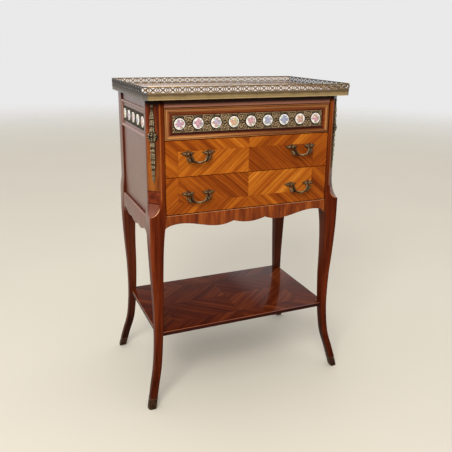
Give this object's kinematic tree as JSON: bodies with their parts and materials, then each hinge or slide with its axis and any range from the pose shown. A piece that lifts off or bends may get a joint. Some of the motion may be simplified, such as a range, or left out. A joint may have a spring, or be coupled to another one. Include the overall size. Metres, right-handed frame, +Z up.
{
  "type": "nightstand",
  "caption": "Bedside cabinet on slender curved legs with a pierced brass gallery, a porcelain plaque frieze, veneered drawers with drop handles and a low shelf.",
  "frame": {"origin": "middle of the floor area under the four feet", "axes": "+X to the right seen from the front, +Y towards the back, +Z up"},
  "size_m": [0.5238, 0.3368, 0.75],
  "materials": {
    "leg_mahogany": "polished red-brown veneer",
    "drawer_tulipwood": "polished quartered honey veneer",
    "side_panel_veneer": "polished veneer",
    "frieze_moulding": "polished moulding",
    "shelf_veneer": "high gloss quartered veneer",
    "plain_drawer_wood": "bare sawn wood",
    "aged_brass": "aged, lightly polished",
    "patinated_bronze": "dark with verdigris"
  },
  "bodies": {
    "carcass": {"leg_front_left": "leg_mahogany", "leg_front_right": "leg_mahogany", "leg_rear_left": "leg_mahogany", "leg_rear_right": "leg_mahogany", "sabot_front_left": "patinated_bronze", "sabot_front_right": "patinated_bronze", "sabot_rear_left": "patinated_bronze", "sabot_rear_right": "patinated_bronze", "side_panel_left": "side_panel_veneer", "side_apron_left": "side_panel_veneer", "side_frieze_frame_left": "frieze_moulding", "side_plaque_strip_left": "patinated_bronze", "corner_mount_left": "patinated_bronze", "side_panel_right": "side_panel_veneer", "side_apron_right": "side_panel_veneer", "side_frieze_frame_right": "frieze_moulding", "side_plaque_strip_right": "patinated_bronze", "corner_mount_right": "patinated_bronze", "back_panel": "plain_drawer_wood", "front_top_rail": "leg_mahogany", "front_apron": "drawer_tulipwood", "dust_board_lower": "plain_drawer_wood", "dust_board_middle": "plain_drawer_wood", "dust_board_upper": "plain_drawer_wood", "tabletop": "shelf_veneer", "top_edge_band": "aged_brass", "gallery_front": "aged_brass", "gallery_back": "aged_brass", "gallery_left": "aged_brass", "gallery_right": "aged_brass", "shelf": "shelf_veneer"},
    "frieze_drawer": {"frieze_drawer_front": "leg_mahogany", "frieze_drawer_frame": "frieze_moulding", "frieze_drawer_plaque_strip": "patinated_bronze", "frieze_drawer_side_left": "plain_drawer_wood", "frieze_drawer_side_right": "plain_drawer_wood", "frieze_drawer_back": "plain_drawer_wood", "frieze_drawer_bottom": "plain_drawer_wood"},
    "middle_drawer": {"middle_drawer_front": "drawer_tulipwood", "middle_drawer_side_left": "plain_drawer_wood", "middle_drawer_side_right": "plain_drawer_wood", "middle_drawer_back": "plain_drawer_wood", "middle_drawer_bottom": "plain_drawer_wood", "middle_drawer_left_rose_left": "patinated_bronze", "middle_drawer_left_rose_right": "patinated_bronze", "middle_drawer_right_rose_left": "patinated_bronze", "middle_drawer_right_rose_right": "patinated_bronze"},
    "bottom_drawer": {"bottom_drawer_front": "drawer_tulipwood", "bottom_drawer_side_left": "plain_drawer_wood", "bottom_drawer_side_right": "plain_drawer_wood", "bottom_drawer_back": "plain_drawer_wood", "bottom_drawer_bottom": "plain_drawer_wood", "bottom_drawer_left_rose_left": "patinated_bronze", "bottom_drawer_left_rose_right": "patinated_bronze", "bottom_drawer_right_rose_left": "patinated_bronze", "bottom_drawer_right_rose_right": "patinated_bronze"},
    "middle_drawer_left_bail": {"middle_drawer_left_bail": "patinated_bronze"},
    "middle_drawer_right_bail": {"middle_drawer_right_bail": "patinated_bronze"},
    "bottom_drawer_left_bail": {"bottom_drawer_left_bail": "patinated_bronze"},
    "bottom_drawer_right_bail": {"bottom_drawer_right_bail": "patinated_bronze"}
  },
  "joints": [
    {"name": "frieze_drawer_slide", "type": "slide", "parent": "carcass", "child": "frieze_drawer", "axis": [0, -1, 0], "range_m": [0, 0.2]},
    {"name": "middle_drawer_slide", "type": "slide", "parent": "carcass", "child": "middle_drawer", "axis": [0, -1, 0], "range_m": [0, 0.2]},
    {"name": "bottom_drawer_slide", "type": "slide", "parent": "carcass", "child": "bottom_drawer", "axis": [0, -1, 0], "range_m": [0, 0.2]},
    {"name": "middle_drawer_left_bail_hinge", "type": "hinge", "parent": "middle_drawer", "child": "middle_drawer_left_bail", "pos_m": [-0.1285, -0.153, 0.6057], "axis": [-1, 0, 0], "range_deg": [0, 85]},
    {"name": "middle_drawer_right_bail_hinge", "type": "hinge", "parent": "middle_drawer", "child": "middle_drawer_right_bail", "pos_m": [0.1285, -0.153, 0.6057], "axis": [-1, 0, 0], "range_deg": [0, 85]},
    {"name": "bottom_drawer_left_bail_hinge", "type": "hinge", "parent": "bottom_drawer", "child": "bottom_drawer_left_bail", "pos_m": [-0.1285, -0.153, 0.5153], "axis": [-1, 0, 0], "range_deg": [0, 85]},
    {"name": "bottom_drawer_right_bail_hinge", "type": "hinge", "parent": "bottom_drawer", "child": "bottom_drawer_right_bail", "pos_m": [0.1285, -0.153, 0.5153], "axis": [-1, 0, 0], "range_deg": [0, 85]}
  ]
}
